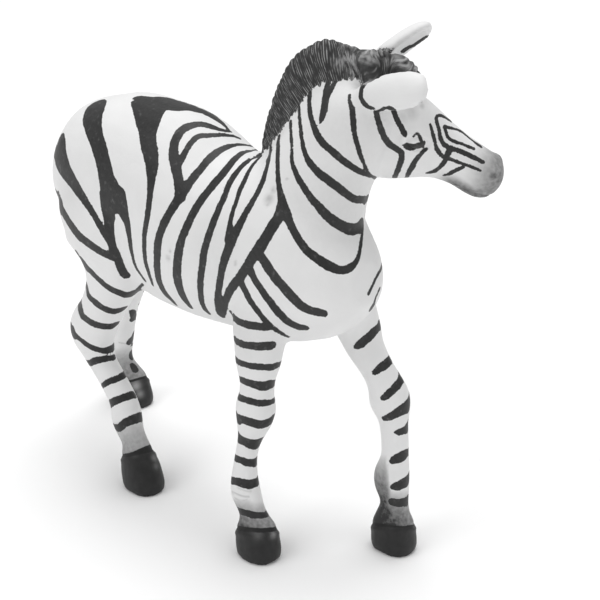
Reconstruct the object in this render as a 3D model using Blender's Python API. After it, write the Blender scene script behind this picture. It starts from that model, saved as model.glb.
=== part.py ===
"""Zebra figurine: one solid vinyl moulding that walks on its own four hooves, head turned to its left.

The frame: +X is the way the body faces, +Y is the animal's left, +Z is up. The ground is z = 0, under the
hooves. The figure is written in its own small unit, one 86th of the height at the withers, so pose and
carving keep their proportions when that height changes. What can be sized by itself has a named value below.
"""

import math

import bmesh
import bpy
from mathutils import Matrix, Vector

# Driving dimensions, in metres.
WITHERS_HEIGHT = 0.086
BARREL_WIDTH = 0.0295
HOOF_LENGTH = 0.0104
HOOF_WIDTH = 0.0086
HOOF_HEIGHT = 0.0076
MANE_HEIGHT = 0.0078
MANE_THICKNESS = 0.0038
EAR_LENGTH = 0.0150
EAR_WIDTH = 0.0072
TAIL_THICKNESS = 0.0034
GRAIN = 0.0006
SOLID_TRIANGLES = 9000

# The figure's own unit, and the sizes above in that unit.
UNIT = WITHERS_HEIGHT / 86
BARREL = BARREL_WIDTH / 2 / UNIT
SOLE_HALF_LENGTH = HOOF_LENGTH / 2 / UNIT
SOLE_HALF_WIDTH = HOOF_WIDTH / 2 / UNIT
HOOF = HOOF_HEIGHT / UNIT
CREST = MANE_HEIGHT / UNIT
LOCK = MANE_THICKNESS / 2 / UNIT
EAR = EAR_LENGTH / UNIT
EAR_HALF = EAR_WIDTH / 2 / UNIT
DOCK = TAIL_THICKNESS / 2 / UNIT

UP = Vector((0, 0, 1))
FORWARD = Vector((1, 0, 0))
RING_POINTS = 28
STEP = 1.1
BELOW_GROUND = 2.0

# The head is drawn along its own axes: a from poll to nose, b to its left, c up through the forehead.
POLL = Vector((33.2, 5.9, 101.9))
HEAD_TURN = math.radians(43.5)
HEAD_DROP = math.radians(24.5)
HEAD_ROLL = math.radians(13.5)


def head_axes():
    """The head's a, b and c directions in the figure."""
    level = math.cos(HEAD_DROP)
    a = Vector((math.cos(HEAD_TURN) * level, math.sin(HEAD_TURN) * level, -math.sin(HEAD_DROP)))
    b = Vector((-math.sin(HEAD_TURN), math.cos(HEAD_TURN), 0))
    c = a.cross(b)
    b = b * math.cos(HEAD_ROLL) + c * math.sin(HEAD_ROLL)
    return a, b, a.cross(b)


HEAD_A, HEAD_B, HEAD_C = head_axes()


def in_head(a, b, c):
    """A point of the head in the figure's frame."""
    return POLL + HEAD_A * a + HEAD_B * b + HEAD_C * c


def smooth_rows(rows):
    """Rows of numbers read from a Catmull-Rom curve through the given rows, about STEP apart."""
    out = []
    for i in range(len(rows) - 1):
        p0, p1, p2, p3 = rows[max(i - 1, 0)], rows[i], rows[i + 1], rows[min(i + 2, len(rows) - 1)]
        count = max(2, math.ceil((Vector(p2[:3]) - Vector(p1[:3])).length / STEP))
        for k in range(count):
            t = k / count
            out.append([blend(*values, t) for values in zip(p0, p1, p2, p3)])
    out.append(list(rows[-1]))
    return out


def blend(a, b, c, d, t):
    """The Catmull-Rom curve from b to c at t."""
    return 0.5 * (2 * b + (c - a) * t + (2 * a - 5 * b + 4 * c - d) * t**2 + (3 * b - a - 3 * c + d) * t**3)


def skin(bm, rings):
    """A closed body over rings of points."""
    rings = [[bm.verts.new(point) for point in ring] for ring in rings]
    for first, second in zip(rings, rings[1:]):
        for k in range(RING_POINTS):
            n = (k + 1) % RING_POINTS
            bm.faces.new((first[k], first[n], second[n], second[k]))
    bm.faces.new(reversed(rings[0]))
    bm.faces.new(rings[-1])


def oval(centre, across, facing, squareness, dish=0.0):
    """A rounded ring: across and facing give its half sizes, and facing has one for each way.

    dish hollows the second facing side, as a share of its own half size.
    """
    ring = []
    for k in range(RING_POINTS):
        turn = 2 * math.pi * k / RING_POINTS
        u, v = math.cos(turn), math.sin(turn)
        u = math.copysign(abs(u) ** (2 / squareness), u)
        v = math.copysign(abs(v) ** (2 / squareness), v)
        if v < 0:
            v += dish * max(0.0, 1 - (u / 0.72) ** 2)
        ring.append(centre + across * u + (facing[0] if math.sin(turn) > 0 else facing[1]) * v)
    return ring


def limb(bm, rows, front, squareness=2.2):
    """A closed tube through rows of (x, y, z, half width, reach to the front, reach to the back, dish).

    front is the direction of the reach to the front, straightened against the tube's own run.
    A row may leave out its dish.
    """
    rows = smooth_rows(rows)
    rings = []
    for i, (x, y, z, side, fore, aft, *dish) in enumerate(rows):
        ahead = Vector(rows[min(i + 1, len(rows) - 1)][:3])
        behind = Vector(rows[max(i - 1, 0)][:3])
        run = (ahead - behind).normalized()
        facing = (front - run * front.dot(run)).normalized()
        across = run.cross(facing)
        rings.append(oval(Vector((x, y, z)), across * side, (facing * fore, facing * aft), squareness, *dish))
    skin(bm, rings)


def muscle(bm, centre, sizes, run, front=UP):
    """An ellipsoid: half sizes along its run, across it, and towards front."""
    run = Vector(run).normalized()
    facing = (front - run * front.dot(run)).normalized()
    across = facing.cross(run)
    turn = Matrix((run, across, facing)).transposed().to_4x4()
    place = Matrix.Translation(centre) @ turn @ Matrix.Diagonal((*sizes, 1))
    bmesh.ops.create_uvsphere(bm, u_segments=24, v_segments=16, radius=1, matrix=place)


def trunk(bm):
    """Rump, barrel and chest: one barrel-shaped run from the dock to the breast."""
    b = BARREL
    spine = [  # x, topline, belly line, half width
        (-46.8, 73.5, 67, 0.26 * b),
        (-45.4, 77.5, 61, 0.52 * b),
        (-42.0, 81.6, 56, 0.74 * b),
        (-36.5, 85.0, 52.5, 0.88 * b),
        (-30.0, 87.0, 50.2, 0.95 * b),
        (-23.0, 88.5, 48.6, 0.99 * b),
        (-16.0, 88.8, 45.1, 1.00 * b),
        (-9.0, 87.2, 43.4, 1.00 * b),
        (-1.0, 83.9, 43.7, 1.00 * b),
        (6.0, 82.4, 44.7, 0.97 * b),
        (13.0, 83.4, 45.5, 0.92 * b),
        (20.0, 84.0, 45.5, 0.87 * b),
        (27.0, 81.5, 46.4, 0.80 * b),
        (33.0, 77.0, 49.6, 0.70 * b),
        (38.0, 72.0, 54.8, 0.54 * b),
        (41.0, 68.0, 59.6, 0.28 * b),
    ]
    rows = []
    for x, top, belly, half in spine:
        rows.append((x, 0, (top + belly) / 2, half, (top - belly) / 2, (top - belly) / 2))
    limb(bm, rows, UP, squareness=2.15)
    muscle(bm, Vector((-39.8, 0, 71.5)), (7.4, 0.58 * b, 8.2), FORWARD)


def neck(bm):
    """The neck rises from the withers and breast, and bends to the left towards the poll."""
    rows = [
        (20.0, 0.0, 66.0, 10.5, 13.0, 13.0),
        (25.5, 0.3, 74.0, 9.4, 13.4, 11.2),
        (29.0, 1.2, 81.5, 7.8, 13.0, 8.8),
        (31.8, 2.6, 88.5, 6.9, 11.8, 7.8),
        (34.0, 4.4, 94.5, 6.3, 9.4, 7.4),
        (35.6, 6.4, 97.6, 5.6, 6.0, 6.0),
    ]
    limb(bm, rows, Vector((-1, -0.2, 1)), squareness=2.1)


def head(bm):
    """Skull, cheeks and muzzle along the head's own axes."""
    profile = [  # along, forehead line, jaw line, half width
        (-3.0, -3.4, -9.0, 3.6),
        (-1.0, -1.0, -13.2, 4.8),
        (3.0, 0.6, -16.2, 5.6),
        (7.0, 1.8, -17.5, 5.8),
        (11.0, 2.3, -17.4, 5.7),
        (14.0, 1.8, -16.3, 5.4),
        (17.5, 0.5, -14.5, 4.7),
        (21.0, -1.0, -12.9, 4.2),
        (25.0, -2.1, -12.4, 3.9),
        (28.0, -2.8, -12.8, 4.0),
        (31.0, -3.6, -13.1, 4.1),
        (33.0, -5.2, -12.3, 3.5),
        (34.0, -7.2, -10.6, 2.0),
    ]
    rows = []
    for a, top, jaw, half in profile:
        rows.append((*in_head(a, 0, (top + jaw) / 2), half, (top - jaw) / 2, (top - jaw) / 2))
    limb(bm, rows, HEAD_C, squareness=2.3)
    for side in (-1, 1):
        muscle(bm, in_head(8.4, 2.4 * side, -10.8), (6.2, 4.1, 6.2), HEAD_A, HEAD_C)
        muscle(bm, in_head(13.2, 3.9 * side, -3.8), (3.3, 2.3, 2.5), HEAD_A, HEAD_C)
        muscle(bm, in_head(31.2, 2.6 * side, -6.0), (2.5, 1.8, 2.0), HEAD_A, HEAD_C)


def ears(bm):
    """Two pricked ears, blunt and thick, their hollow sides turned to the nose."""
    for side in (-1, 1):
        root = in_head(1.6, 4.9 * side, 0.2)
        run = (in_head(9.4, 12.0 * side, 10.6) - root).normalized()
        back = HEAD_B * 0.5 * side - HEAD_A * 0.85
        rows = [
            (*(root - run * 1.2), 0.70 * EAR_HALF, 2.2, 2.0, 0.0),
            (*(root + run * 0.15 * EAR), 0.90 * EAR_HALF, 2.6, 2.0, 0.3),
            (*(root + run * 0.35 * EAR), 1.02 * EAR_HALF, 2.8, 1.4, 1.5),
            (*(root + run * 0.62 * EAR), 1.04 * EAR_HALF, 2.7, 1.2, 1.8),
            (*(root + run * 0.84 * EAR), 0.94 * EAR_HALF, 2.3, 1.2, 1.2),
            (*(root + run * 0.96 * EAR), 0.66 * EAR_HALF, 1.6, 1.0, 0.2),
            (*(root + run * 1.00 * EAR), 0.34 * EAR_HALF, 0.8, 0.6, 0.0),
        ]
        limb(bm, rows, back, squareness=2.2)


def mane(bm):
    """A standing mane from the withers over the poll to the forelock, in clumps along its top."""
    strands = [  # where it grows, where it ends
        (Vector((14.0, 0.0, 83.0)), Vector((12.8, 0.0, 85.6))),
        (Vector((16.5, 0.0, 87.0)), Vector((13.4, 0.0, 90.1))),
        (Vector((19.3, 0.1, 90.8)), Vector((15.0, 0.1, 94.8))),
        (Vector((21.8, 0.3, 94.6)), Vector((16.7, 0.3, 99.4))),
        (Vector((24.6, 0.9, 98.0)), Vector((18.9, 1.1, 104.2))),
        (Vector((27.2, 1.8, 100.4)), Vector((22.0, 2.2, 107.4))),
        (Vector((29.8, 3.2, 101.8)), Vector((25.9, 4.0, 109.5))),
        (Vector((32.0, 4.8, 102.3)), Vector((29.5, 5.5, 109.0))),
        (in_head(1.5, 0, 0.4), in_head(-1.5, 0, 7.2)),
        (in_head(4.5, 0, 0.8), in_head(2.8, 0, 8.8)),
        (in_head(7.2, 0, 1.2), in_head(6.6, 0, 8.6)),
        (in_head(9.6, 0, 1.5), in_head(9.8, 0, 7.0)),
        (in_head(11.8, 0, 1.4), in_head(12.2, 0, 3.4)),
    ]
    rows = smooth_rows([(*root, *((tip - root) * (CREST / 7.8))) for root, tip in strands])
    rings = []
    for i, row in enumerate(rows):
        root, hair = Vector(row[:3]), Vector(row[3:])
        run = (Vector(rows[min(i + 1, len(rows) - 1)][:3]) - Vector(rows[max(i - 1, 0)][:3])).normalized()
        across = run.cross(hair).normalized() * LOCK
        middle = root + hair * 0.35
        rings.append(oval(middle, across, (hair * 0.65, hair * 0.55 + hair.normalized() * 1.2), 2.5))
    skin(bm, rings)


def hoof(bm, sole, coronet, toe_way):
    """A hoof from its coronet down to the ground, and on below it, where the sole is cut flat."""
    toe = Vector((math.cos(toe_way), math.sin(toe_way), 0))
    low, top = Vector((*sole, 0)), Vector((*coronet, HOOF))
    levels = [  # share of the height, share of the sole's size
        (-BELOW_GROUND / HOOF, 0.90),
        (0.0, 0.94),
        (0.15, 1.00),
        (0.55, 0.96),
        (0.90, 0.86),
        (1.02, 0.70),
    ]
    rows = []
    for share, size in levels:
        point = low.lerp(top, share) if share > 0 else low + UP * share * HOOF
        rows.append((*point, size * SOLE_HALF_WIDTH, size * SOLE_HALF_LENGTH, 0.92 * size * SOLE_HALF_LENGTH))
    limb(bm, rows, toe, squareness=2.5)


def front_right(bm):
    bones = [
        (24.0, -6.5, 64.0, 5.0, 8.0, 8.0),
        (22.0, -8.4, 57.0, 4.9, 6.8, 7.4),
        (21.0, -9.5, 51.9, 4.6, 6.0, 6.6),
        (20.8, -9.8, 47.3, 4.4, 5.4, 5.7),
        (20.7, -10.2, 43.1, 4.1, 4.8, 4.9),
        (20.8, -10.5, 39.1, 3.4, 3.6, 3.7),
        (20.8, -10.7, 36.2, 3.5, 3.7, 3.8),
        (20.6, -10.8, 33.9, 3.9, 4.4, 4.4),
        (20.3, -11.1, 30.7, 3.5, 4.1, 4.0),
        (19.3, -11.4, 25.9, 2.4, 2.7, 2.8),
        (18.5, -11.7, 21.4, 2.2, 2.5, 2.7),
        (18.3, -12.0, 16.8, 2.5, 3.0, 3.2),
        (18.4, -12.1, 14.8, 2.8, 3.2, 3.4),
        (18.9, -12.3, 12.9, 3.0, 3.4, 3.6),
        (20.1, -12.5, 11.0, 2.7, 3.1, 3.1),
        (21.1, -12.7, 9.3, 2.7, 2.9, 2.8),
        (21.9, -12.9, 7.5, 3.3, 3.7, 3.5),
        (22.2, -12.9, 6.0, 3.4, 3.8, 3.6),
    ]
    limb(bm, bones, FORWARD)
    hoof(bm, (23.3, -13.1), (22.0, -12.9), math.radians(-4))


def front_left(bm):
    bones = [
        (26.0, 5.2, 62.0, 4.8, 8.2, 8.0),
        (29.0, 6.9, 54.5, 4.7, 7.0, 6.6),
        (31.8, 7.9, 48.6, 4.3, 5.0, 4.9),
        (33.3, 8.1, 45.2, 3.8, 4.2, 4.2),
        (36.1, 8.3, 41.7, 3.3, 3.6, 3.6),
        (38.3, 8.4, 39.0, 3.4, 3.6, 3.6),
        (39.7, 8.5, 36.4, 3.8, 4.4, 4.3),
        (40.1, 8.6, 34.5, 3.9, 4.6, 4.5),
        (40.7, 8.7, 32.5, 3.5, 4.0, 3.9),
        (41.2, 8.8, 29.7, 2.8, 3.1, 3.2),
        (41.6, 9.0, 24.1, 2.7, 2.9, 3.1),
        (41.5, 9.1, 21.8, 2.7, 3.0, 3.1),
        (41.2, 9.2, 19.3, 3.0, 3.5, 3.7),
        (40.8, 9.2, 16.9, 3.2, 3.9, 4.3),
        (40.8, 9.2, 14.7, 3.2, 3.9, 4.2),
        (41.3, 9.2, 12.6, 2.9, 3.5, 3.5),
        (41.7, 9.1, 10.4, 2.7, 3.1, 3.0),
        (41.5, 9.0, 7.8, 3.4, 3.9, 3.8),
        (41.4, 9.0, 6.0, 3.5, 4.0, 3.8),
    ]
    limb(bm, bones, FORWARD)
    hoof(bm, (42.0, 8.8), (41.2, 9.0), math.radians(3))


def hind_right(bm):
    muscle(bm, Vector((-24.0, -6.6, 65.0)), (17.0, 7.6, 13.5), (-0.35, 0, 1), FORWARD)
    bones = [
        (-26.0, -6.8, 70.0, 6.6, 13.0, 13.6),
        (-25.0, -7.9, 65.2, 7.2, 12.0, 16.4),
        (-23.5, -8.5, 60.0, 7.4, 10.6, 15.6),
        (-23.0, -9.1, 52.5, 6.1, 7.8, 15.2),
        (-25.3, -9.3, 46.3, 4.8, 5.6, 7.6),
        (-29.0, -9.4, 40.1, 4.1, 5.6, 5.3),
        (-31.8, -9.5, 34.8, 3.8, 5.8, 6.4),
        (-32.6, -9.6, 32.3, 3.7, 5.8, 6.8),
        (-31.5, -9.6, 29.6, 3.5, 4.8, 5.3),
        (-29.9, -9.7, 26.6, 3.0, 3.5, 3.6),
        (-27.4, -9.8, 24.0, 2.9, 3.2, 3.3),
        (-24.6, -9.9, 21.2, 2.9, 3.3, 3.4),
        (-22.4, -9.9, 18.0, 3.0, 3.5, 3.6),
        (-21.4, -10.2, 15.2, 3.2, 3.8, 4.2),
        (-20.3, -10.5, 12.8, 3.0, 3.2, 3.5),
        (-18.3, -10.9, 10.6, 2.8, 2.8, 2.9),
        (-17.2, -11.3, 8.4, 3.4, 3.7, 3.8),
        (-16.8, -11.4, 7.0, 3.4, 3.9, 3.8),
    ]
    limb(bm, bones, FORWARD)
    hoof(bm, (-14.9, -11.5), (-16.9, -11.4), math.radians(-4))


def hind_left(bm):
    muscle(bm, Vector((-27.0, 6.4, 64.0)), (17.0, 7.6, 13.0), (-0.15, 0, 1), FORWARD)
    bones = [
        (-27.0, 6.8, 70.0, 6.6, 13.0, 15.0),
        (-27.5, 8.0, 60.0, 6.2, 11.4, 16.6),
        (-31.0, 9.2, 52.0, 5.4, 8.0, 13.2),
        (-36.5, 10.0, 45.5, 4.6, 5.8, 8.4),
        (-41.5, 10.5, 40.0, 3.9, 5.2, 5.6),
        (-44.2, 10.8, 35.6, 3.7, 5.2, 6.2),
        (-45.4, 11.2, 32.0, 3.4, 4.7, 5.6),
        (-46.4, 11.7, 27.4, 2.8, 3.3, 3.5),
        (-48.0, 12.3, 22.5, 2.7, 3.0, 3.2),
        (-49.6, 12.8, 18.5, 2.8, 3.2, 3.4),
        (-51.0, 13.3, 15.0, 3.1, 3.2, 3.9),
        (-51.2, 13.5, 12.6, 3.0, 2.7, 3.5),
        (-50.6, 13.9, 10.0, 2.7, 2.3, 2.9),
        (-49.7, 14.2, 7.6, 3.4, 3.8, 3.6),
        (-49.4, 14.3, 6.2, 3.4, 3.9, 3.7),
    ]
    limb(bm, bones, FORWARD)
    hoof(bm, (-47.8, 14.4), (-49.9, 14.2), math.radians(5))


def tail(bm):
    """The dock and a hanging switch, moulded against the left buttock."""
    rows = [
        (-39.0, 0.4, 80.4, DOCK, 0.9 * DOCK, DOCK),
        (-43.6, 0.6, 79.6, DOCK, 0.9 * DOCK, 1.5 * DOCK),
        (-47.0, 1.0, 76.4, DOCK, DOCK, 2.9 * DOCK),
        (-49.0, 1.7, 71.0, DOCK, DOCK, 3.0 * DOCK),
        (-49.6, 2.6, 64.5, 0.95 * DOCK, DOCK, 2.2 * DOCK),
        (-48.8, 3.6, 58.0, DOCK, DOCK, 2.4 * DOCK),
        (-47.8, 4.8, 51.5, 1.2 * DOCK, 1.15 * DOCK, 2.3 * DOCK),
        (-47.6, 6.0, 45.5, 1.35 * DOCK, 1.25 * DOCK, 2.0 * DOCK),
        (-48.2, 7.0, 40.0, 1.15 * DOCK, 1.1 * DOCK, 1.6 * DOCK),
        (-48.8, 7.6, 36.0, 0.70 * DOCK, 0.8 * DOCK, 1.2 * DOCK),
        (-49.0, 7.8, 34.2, 0.30 * DOCK, 0.4 * DOCK, 0.4 * DOCK),
    ]
    limb(bm, rows, -FORWARD)


def vinyl():
    material = bpy.data.materials.new("painted_vinyl")
    material.use_nodes = True
    shader = material.node_tree.nodes["Principled BSDF"]
    shader.inputs["Base Color"].default_value = (0.82, 0.82, 0.81, 1)
    shader.inputs["Roughness"].default_value = 0.55
    return material


def figurine():
    bm = bmesh.new()
    for form in (trunk, neck, head, ears, mane, front_right, front_left, hind_right, hind_left, tail):
        form(bm)
    bmesh.ops.scale(bm, vec=(UNIT, UNIT, UNIT), verts=bm.verts)
    bmesh.ops.recalc_face_normals(bm, faces=bm.faces)
    mesh = bpy.data.meshes.new("forms")
    bm.to_mesh(mesh)
    bm.free()
    forms = bpy.data.objects.new("zebra_figurine", mesh)
    bpy.context.scene.collection.objects.link(forms)
    fuse = forms.modifiers.new("fuse", "REMESH")
    fuse.mode = "VOXEL"
    fuse.voxel_size = GRAIN
    soften = forms.modifiers.new("soften", "SMOOTH")
    soften.factor = 0.5
    soften.iterations = 7
    count = len(evaluated(forms).polygons)
    thin = forms.modifiers.new("thin", "DECIMATE")
    thin.ratio = min(1.0, SOLID_TRIANGLES / (2 * count))
    solid = bpy.data.meshes.new_from_object(forms.evaluated_get(bpy.context.evaluated_depsgraph_get()))
    forms.modifiers.clear()
    forms.data = solid
    bm = bmesh.new()
    bm.from_mesh(solid)
    whole = bm.verts[:] + bm.edges[:] + bm.faces[:]
    bmesh.ops.bisect_plane(bm, geom=whole, plane_co=(0, 0, 0), plane_no=(0, 0, -1), clear_outer=True)
    rims = [e for e in bm.edges if e.is_boundary]
    bmesh.ops.holes_fill(bm, edges=rims, sides=0)
    bmesh.ops.triangulate(bm, faces=bm.faces)
    xs = [v.co.x for v in bm.verts]
    ys = [v.co.y for v in bm.verts]
    middle = Vector(((min(xs) + max(xs)) / 2, (min(ys) + max(ys)) / 2, 0))
    bmesh.ops.translate(bm, vec=-middle, verts=bm.verts)
    bm.to_mesh(solid)
    bm.free()
    solid.shade_smooth()
    solid.materials.clear()
    solid.materials.append(vinyl())


def evaluated(obj):
    bpy.context.view_layer.update()
    return obj.evaluated_get(bpy.context.evaluated_depsgraph_get()).to_mesh()


for old in list(bpy.data.objects):
    bpy.data.objects.remove(old)
figurine()
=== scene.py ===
import math

import bpy
import numpy as np
from mathutils import Matrix, Vector
from mathutils.bvhtree import BVHTree


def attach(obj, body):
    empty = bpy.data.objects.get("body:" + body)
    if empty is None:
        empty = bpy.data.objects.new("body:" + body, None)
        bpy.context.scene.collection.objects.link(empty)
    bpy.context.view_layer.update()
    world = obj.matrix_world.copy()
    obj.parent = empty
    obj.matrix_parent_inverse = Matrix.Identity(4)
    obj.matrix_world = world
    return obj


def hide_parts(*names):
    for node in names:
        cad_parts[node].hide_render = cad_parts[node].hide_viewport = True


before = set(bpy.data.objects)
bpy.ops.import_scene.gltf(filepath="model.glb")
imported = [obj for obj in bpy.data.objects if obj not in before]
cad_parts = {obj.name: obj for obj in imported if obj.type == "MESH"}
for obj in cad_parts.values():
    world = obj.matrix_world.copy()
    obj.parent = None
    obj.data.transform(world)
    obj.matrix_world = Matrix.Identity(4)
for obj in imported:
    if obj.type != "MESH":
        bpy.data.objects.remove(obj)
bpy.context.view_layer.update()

# Camera
# A long lens from in front and to the right of the animal, a little above it.
# Places are in millimetres of the figure as it was drawn, and HERE carries them to the row's frame.
MM = 0.001
PER_METRE = 1000.0
HERE = Vector((0.11237, -5.76358, 0.0))
LOOK_AT = Vector((22.8, 0.0, 54.7)) + HERE
LENS_TURN = math.radians(43.5)
LENS_RISE = math.radians(24.5)
LENS_AWAY = 336.0
PICTURE = 600
PIXELS_PER_RADIAN = 1650.0
SENSOR = 36.0
lens_right = Vector((math.cos(LENS_TURN), math.sin(LENS_TURN), 0.0))
lens_back = Vector((math.sin(LENS_TURN) * math.cos(LENS_RISE),
                    -math.cos(LENS_TURN) * math.cos(LENS_RISE),
                    math.sin(LENS_RISE)))
lens_up = lens_back.cross(lens_right)
lens_spot = LOOK_AT + lens_back * LENS_AWAY
camera_data = bpy.data.cameras.new("camera")
camera_data.sensor_width = SENSOR
camera_data.lens = SENSOR * PIXELS_PER_RADIAN / PICTURE
camera_data.clip_start = 0.01
camera_data.clip_end = 20.0
camera = bpy.data.objects.new("camera", camera_data)
bpy.context.scene.collection.objects.link(camera)
stand = Matrix((lens_right, lens_up, lens_back)).transposed().to_4x4()
stand.translation = lens_spot * MM
camera.matrix_world = stand
bpy.context.scene.camera = camera

# Moulded body
# The whole animal is one vinyl moulding, cast in a closed mould with its seams trimmed off. The piece keeps the
# solid's form, skinned finely enough to carry the hair of the mane, the eyes and the brushed stripes.
WELD = 1e-6
SKIN_GRAIN = 0.00060
SKIN_EASE = 9
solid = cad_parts["zebra_figurine"]
bpy.ops.object.select_all(action="DESELECT")
solid.select_set(True)
bpy.context.view_layer.objects.active = solid
bpy.ops.object.duplicate()
zebra = bpy.context.active_object
zebra.name = "zebra_painted_body"
zebra.parent = None
bpy.ops.object.mode_set(mode="EDIT")
bpy.ops.mesh.select_all(action="SELECT")
bpy.ops.mesh.remove_doubles(threshold=WELD)
bpy.ops.object.mode_set(mode="OBJECT")
skin = zebra.modifiers.new("skin", "REMESH")
skin.mode = "VOXEL"
skin.voxel_size = SKIN_GRAIN
bpy.ops.object.modifier_apply(modifier="skin")
ease = zebra.modifiers.new("ease", "SMOOTH")
ease.factor = 0.5
ease.iterations = SKIN_EASE
bpy.ops.object.modifier_apply(modifier="ease")


def mesh_points(piece):
    """Every vertex of the piece, in the figure's millimetres."""
    flat = np.empty(len(piece.data.vertices) * 3)
    piece.data.vertices.foreach_get("co", flat)
    return flat.reshape(-1, 3) * PER_METRE - np.array(HERE)


def mesh_normals(piece):
    """The way that each vertex of the piece faces."""
    flat = np.empty(len(piece.data.vertices) * 3)
    piece.data.vertex_normals.foreach_get("vector", flat)
    return flat.reshape(-1, 3)


def set_points(piece, points):
    """Moves every vertex of the piece to its new place in the figure's millimetres."""
    piece.data.vertices.foreach_set("co", ((points + np.array(HERE)) * MM).ravel())
    piece.data.update()


def finer(piece, chosen):
    """Cuts the faces round the chosen vertices once more in each direction."""
    bpy.context.view_layer.objects.active = piece
    bpy.ops.object.mode_set(mode="EDIT")
    bpy.ops.mesh.select_mode(type="VERT")
    bpy.ops.mesh.select_all(action="DESELECT")
    bpy.ops.object.mode_set(mode="OBJECT")
    piece.data.vertices.foreach_set("select", chosen)
    bpy.ops.object.mode_set(mode="EDIT")
    bpy.ops.mesh.subdivide(number_cuts=1, smoothness=0.0)
    bpy.ops.object.mode_set(mode="OBJECT")


# The head's own axes: a from poll to nose, b to its left, c up through the forehead.
POLL = np.array((33.2, 5.9, 101.9))
HEAD_A = np.array((0.661, 0.627, -0.413))
HEAD_B = np.array((-0.599, 0.772, 0.214))
HEAD_A = HEAD_A / np.linalg.norm(HEAD_A)
HEAD_C = np.cross(HEAD_A, HEAD_B)
HEAD_C = HEAD_C / np.linalg.norm(HEAD_C)
HEAD_B = np.cross(HEAD_C, HEAD_A)


def head_places(points):
    """Each point's a, b and c in the head."""
    away = points - POLL
    return away @ HEAD_A, away @ HEAD_B, away @ HEAD_C


# Brushed stripes
# Charcoal paint, brushed on by hand. Each stripe is one or more brush marks (x, y, width in pixels), laid on
# the right side in the picture's own places, and again, mirrored, on the side that it doesn't show.
MARK_STEP = 1.4
THINNEST = 0.2
REACH = 2.5
SIGHT_SLACK = 0.7
EDGE_SHARES = (1.0, 0.7, 0.4, 0.15)
EDGE_STRETCH = 3.2
HALF_PER_PIXEL = 0.105

points = mesh_points(zebra)
faces = [tuple(face.vertices) for face in zebra.data.polygons]
coat = BVHTree.FromPolygons([Vector(point) for point in points], faces)
eye_spot = lens_spot - HERE


def touch(x, y):
    """The point of the coat under a place in the picture."""
    way = lens_right * (x - PICTURE / 2) - lens_up * (y - PICTURE / 2) - lens_back * PIXELS_PER_RADIAN
    return coat.ray_cast(eye_spot, way.normalized())[0]


def in_sight(point):
    """Whether the picture shows this point of the coat."""
    way = point - eye_spot
    hit = coat.ray_cast(eye_spot, way.normalized())[0]
    return hit is not None and (hit - point).length < SIGHT_SLACK


def curve(marks, step):
    """The marks joined by one smooth curve and read about a step apart."""
    out = []
    for i in range(len(marks) - 1):
        p0, p1, p2, p3 = (np.array(marks[k], float)
                          for k in (max(i - 1, 0), i, i + 1, min(i + 2, len(marks) - 1)))
        count = max(2, math.ceil(np.linalg.norm((p2 - p1)[:2]) / step))
        for k in range(count):
            t = k / count
            out.append(0.5 * (2 * p1 + (p2 - p0) * t + (2 * p0 - 5 * p1 + 4 * p2 - p3) * t**2
                              + (3 * p1 - p0 - 3 * p2 + p3) * t**3))
    out.append(np.array(marks[-1], float))
    return out


def lay(marks):
    """Brush marks (x, y, width) of the picture as (point, half width) on the coat."""
    path = curve(marks, MARK_STEP)
    laid = []
    for i, (x, y, width) in enumerate(path):
        middle = touch(x, y)
        if middle is None:
            continue
        run = path[min(i + 1, len(path) - 1)][:2] - path[max(i - 1, 0)][:2]
        run = run / max(np.linalg.norm(run), 1e-6)
        edges = []
        for side in (-1, 1):
            for share in EDGE_SHARES:
                away = side * share * width / 2
                edge = touch(x - run[1] * away, y + run[0] * away)
                if edge is not None and (edge - middle).length < EDGE_STRETCH * (width * share * 0.11 + 0.3):
                    edges.append(edge)
                    break
        if len(edges) == 2:
            centre = coat.find_nearest((edges[0] + edges[1]) / 2)[0]
            half = (edges[0] - edges[1]).length / 2
        else:
            centre, half = middle, width * HALF_PER_PIXEL
        laid.append([centre, half, edges])
    for i, mark in enumerate(laid):
        along = laid[min(i + 1, len(laid) - 1)][0] - laid[max(i - 1, 0)][0]
        if len(mark[2]) == 2 and along.length > 0.05:
            across = mark[2][0] - mark[2][1]
            along.normalize()
            mark[1] = (across - along * across.dot(along)).length / 2
    return [(centre, max(half, THINNEST)) for centre, half, edges in laid]


# The middle planes of trunk, neck and head, each as a place and its way to the left, low and high.
MIDDLES = {
    "trunk": (((0.0, 0.0, 60.0), (0.0, 1.0, 0.0)), ((0.0, 0.0, 70.0), (0.0, 1.0, 0.0))),
    "neck": (((25.0, 0.2, 72.0), (0.0, 1.0, 0.0)), ((35.0, 5.8, 97.0), (-0.46, 0.83, -0.3))),
    "head": ((POLL, HEAD_B), (POLL, HEAD_B)),
}


def other_side(point, part):
    """The point mirrored to the animal's left, on the coat again."""
    (low, low_way), (high, high_way) = MIDDLES[part]
    share = 0.0 if part == "head" else min(1.0, max(0.0, (point.z - low[2]) / (high[2] - low[2])))
    centre = Vector(low).lerp(Vector(high), share)
    way = Vector(low_way).lerp(Vector(high_way), share).normalized()
    twin = point - way * 2 * (point - centre).dot(way)
    return coat.find_nearest(twin)[0]


marks_laid = []


def stripe(marks, twin=None):
    """One stripe of the picture, and its twin on the left side of the trunk, neck or head."""
    laid = lay(marks)
    marks_laid.append(laid)
    if twin is None:
        return laid
    run = []
    for point, half in laid:
        spot = other_side(point, twin)
        if in_sight(spot):
            if len(run) > 1:
                marks_laid.append(run)
            run = []
        else:
            run.append((spot, half))
    if len(run) > 1:
        marks_laid.append(run)
    return laid


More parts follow.
